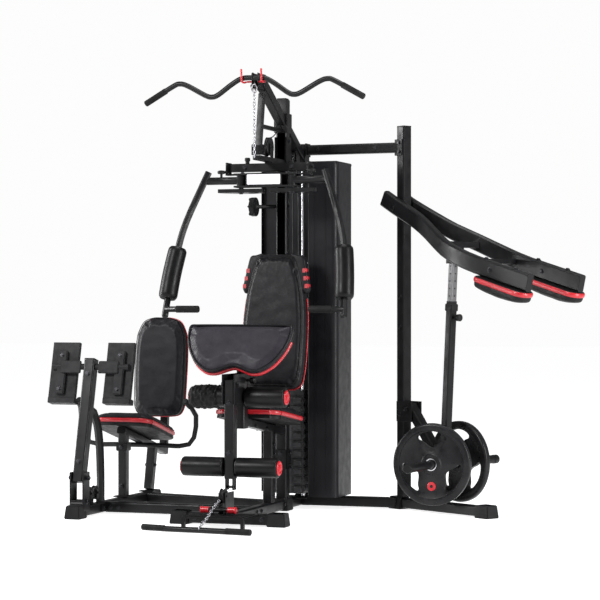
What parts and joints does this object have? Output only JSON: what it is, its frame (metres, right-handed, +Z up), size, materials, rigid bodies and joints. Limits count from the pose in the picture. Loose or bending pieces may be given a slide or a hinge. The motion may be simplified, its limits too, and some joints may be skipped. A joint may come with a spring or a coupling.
{
  "type": "multi station home gym",
  "caption": "Home gym with a lat tower, press and fly arms, leg developer, preacher pad, leg press seat, weight stack and a lever squat station.",
  "frame": {"origin": "on the floor under the main column, at the underside of the column's foot", "axes": "+X to the squat station, which is the longest side; the middle user faces -Y; +Z is up"},
  "size_m": [2.652, 1.6004, 2.112],
  "materials": {
    "black_steel": "satin black powder coat",
    "sheet_steel": "satin black sheet steel",
    "chrome": "polished",
    "vinyl": "soft black leatherette with red piping",
    "foam": "smooth black closed-cell foam",
    "plate_iron": "black coated iron",
    "grey_plastic": "fine matte",
    "chain_steel": "bright zinc",
    "cable_jacket": "black nylon jacket"
  },
  "bodies": {
    "frame": {"main_base_beam": "black_steel", "front_foot_bar": "black_steel", "foot_rest": "black_steel", "left_cross_beam": "black_steel", "left_brace_beam": "black_steel", "press_base_beam": "black_steel", "squat_base_beam": "black_steel", "rear_link_beam": "black_steel", "main_column": "black_steel", "top_boom": "black_steel", "top_crosspiece": "black_steel", "front_post": "black_steel", "top_link_bar": "black_steel", "main_seat_frame": "black_steel", "press_stop_tube": "black_steel", "side_seat_frame": "black_steel", "squat_upright": "black_steel", "stack_shroud": "sheet_steel", "guide_rod_left": "chrome", "guide_rod_right": "chrome", "weight_plates_resting": "plate_iron", "high_chain": "chain_steel", "main_seat_pad": "vinyl", "main_back_pad": "vinyl", "side_seat_pad": "vinyl", "side_back_pad": "vinyl", "upper_roller_left": "foam", "upper_roller_right": "foam", "lift_cable": "cable_jacket"},
    "weights": {"weight_top_plate": "black_steel", "weight_plates_selected": "plate_iron"},
    "pin": {"selector_pin": "chrome"},
    "press_arm": {"press_arm_bracket": "black_steel"},
    "fly_left": {"fly_arm_left": "black_steel", "fly_foam_left": "foam"},
    "fly_right": {"fly_arm_right": "black_steel", "fly_foam_right": "foam"},
    "knob": {"adjuster_knob": "grey_plastic"},
    "high_wheel": {"high_pulley": "grey_plastic"},
    "top_wheel": {"top_pulley": "grey_plastic"},
    "low_wheel": {"low_pulley": "grey_plastic"},
    "lat_handle": {"lat_bar": "black_steel"},
    "low_handle": {"low_bar": "black_steel", "low_chain": "chain_steel"},
    "leg_developer": {"leg_developer_lever": "black_steel", "lower_roller_left": "foam", "lower_roller_right": "foam"},
    "preacher": {"preacher_post": "black_steel", "preacher_pad": "vinyl"},
    "leg_press": {"leg_press_lever": "black_steel"},
    "foot_rests": {"foot_plates": "grey_plastic"},
    "squat_arm_swing": {"squat_arms": "black_steel", "shoulder_pad_near": "vinyl", "shoulder_pad_far": "vinyl"},
    "squat_lever_swing": {"squat_lever": "black_steel"},
    "strut": {"strut_tube": "black_steel", "strut_rod": "chrome"},
    "strut_pin": {"strut_knob": "grey_plastic"},
    "disc_near": {"weight_disc_near": "plate_iron"},
    "disc_far": {"weight_disc_far": "plate_iron"}
  },
  "joints": [
    {"name": "weight_lift", "type": "slide", "parent": "frame", "child": "weights", "axis": [0, 0, 1], "range_m": [0, 0.85], "deforming": ["lift_cable"]},
    {"name": "selector_pin_pull", "type": "slide", "parent": "weights", "child": "pin", "axis": [0, -1, 0], "range_m": [0, 0.044]},
    {"name": "press_arm_swing", "type": "hinge", "parent": "frame", "child": "press_arm", "pos_m": [0, -0.19, 1.675], "axis": [-1, 0, 0], "range_deg": [0, 36]},
    {"name": "fly_left_swing", "type": "hinge", "parent": "press_arm", "child": "fly_left", "pos_m": [-0.13, -0.237, 1.611], "axis": [0, 0, 1], "range_deg": [0, 60]},
    {"name": "fly_right_swing", "type": "hinge", "parent": "press_arm", "child": "fly_right", "pos_m": [0.13, -0.237, 1.611], "axis": [0, 0, -1], "range_deg": [0, 60]},
    {"name": "adjuster_knob_pull", "type": "slide", "parent": "frame", "child": "knob", "axis": [-1, 0, 0], "range_m": [0, 0.01], "stiffness_N_per_m": 400},
    {"name": "high_pulley_spin", "type": "hinge", "parent": "frame", "child": "high_wheel", "pos_m": [0, -0.362, 2.07], "axis": [1, 0, 0], "continuous": true},
    {"name": "top_pulley_spin", "type": "hinge", "parent": "frame", "child": "top_wheel", "pos_m": [0, -0.202, 1.774], "axis": [1, 0, 0], "continuous": true},
    {"name": "low_pulley_spin", "type": "hinge", "parent": "frame", "child": "low_wheel", "pos_m": [0, -0.815, 0.14], "axis": [1, 0, 0], "continuous": true},
    {"name": "lat_bar_lift", "type": "slide", "parent": "frame", "child": "lat_handle", "axis": [0, 0, 1], "range_m": [0, 0.12]},
    {"name": "low_bar_pull", "type": "slide", "parent": "frame", "child": "low_handle", "axis": [0, -0.8, 0.6], "range_m": [0, 0.3]},
    {"name": "leg_developer_swing", "type": "hinge", "parent": "frame", "child": "leg_developer", "pos_m": [0, -0.72, 0.645], "axis": [-1, 0, 0], "range_deg": [0, 80]},
    {"name": "preacher_height", "type": "slide", "parent": "frame", "child": "preacher", "axis": [0, 0, 1], "range_m": [0, 0.05]},
    {"name": "leg_press_swing", "type": "hinge", "parent": "frame", "child": "leg_press", "pos_m": [-0.79, -0.66, 0.19], "axis": [1, 0, 0], "range_deg": [0, 35]},
    {"name": "foot_plate_tilt", "type": "hinge", "parent": "leg_press", "child": "foot_rests", "pos_m": [-0.79, -0.533, 0.713], "axis": [1, 0, 0], "range_deg": [-12, 12]},
    {"name": "squat_lever_lift", "type": "hinge", "parent": "frame", "child": "squat_lever_swing", "pos_m": [0.59419, 0.22926, 0.5], "axis": [-0.5299, -0.848, 0], "range_deg": [0, 40]},
    {"name": "squat_arm_lift", "type": "hinge", "parent": "frame", "child": "squat_arm_swing", "pos_m": [0.545, 0.26, 1.49], "axis": [-0.5299, -0.848, 0], "range_deg": [0, 28.2]},
    {"name": "strut_swing", "type": "hinge", "parent": "squat_lever_swing", "child": "strut", "pos_m": [0.79941, 0.10102, 0.31], "axis": [-0.5299, -0.848, 0], "range_deg": [-41, 0]},
    {"name": "strut_pin_pull", "type": "slide", "parent": "strut", "child": "strut_pin", "axis": [0.848, -0.5299, 0], "range_m": [0, 0.008], "stiffness_N_per_m": 400},
    {"name": "disc_near_slide", "type": "slide", "parent": "squat_lever_swing", "child": "disc_near", "axis": [-0.1049, -0.9945, 0], "range_m": [0, 0.12]},
    {"name": "disc_far_slide", "type": "slide", "parent": "squat_lever_swing", "child": "disc_far", "axis": [0.5146, 0.8574, 0], "range_m": [0, 0.12]}
  ],
  "couplings": [
    {"joint": "squat_arm_lift", "follows": "squat_lever_lift", "ratio": 0.704},
    {"joint": "strut_swing", "follows": "squat_lever_lift", "ratio": -1.014}
  ]
}
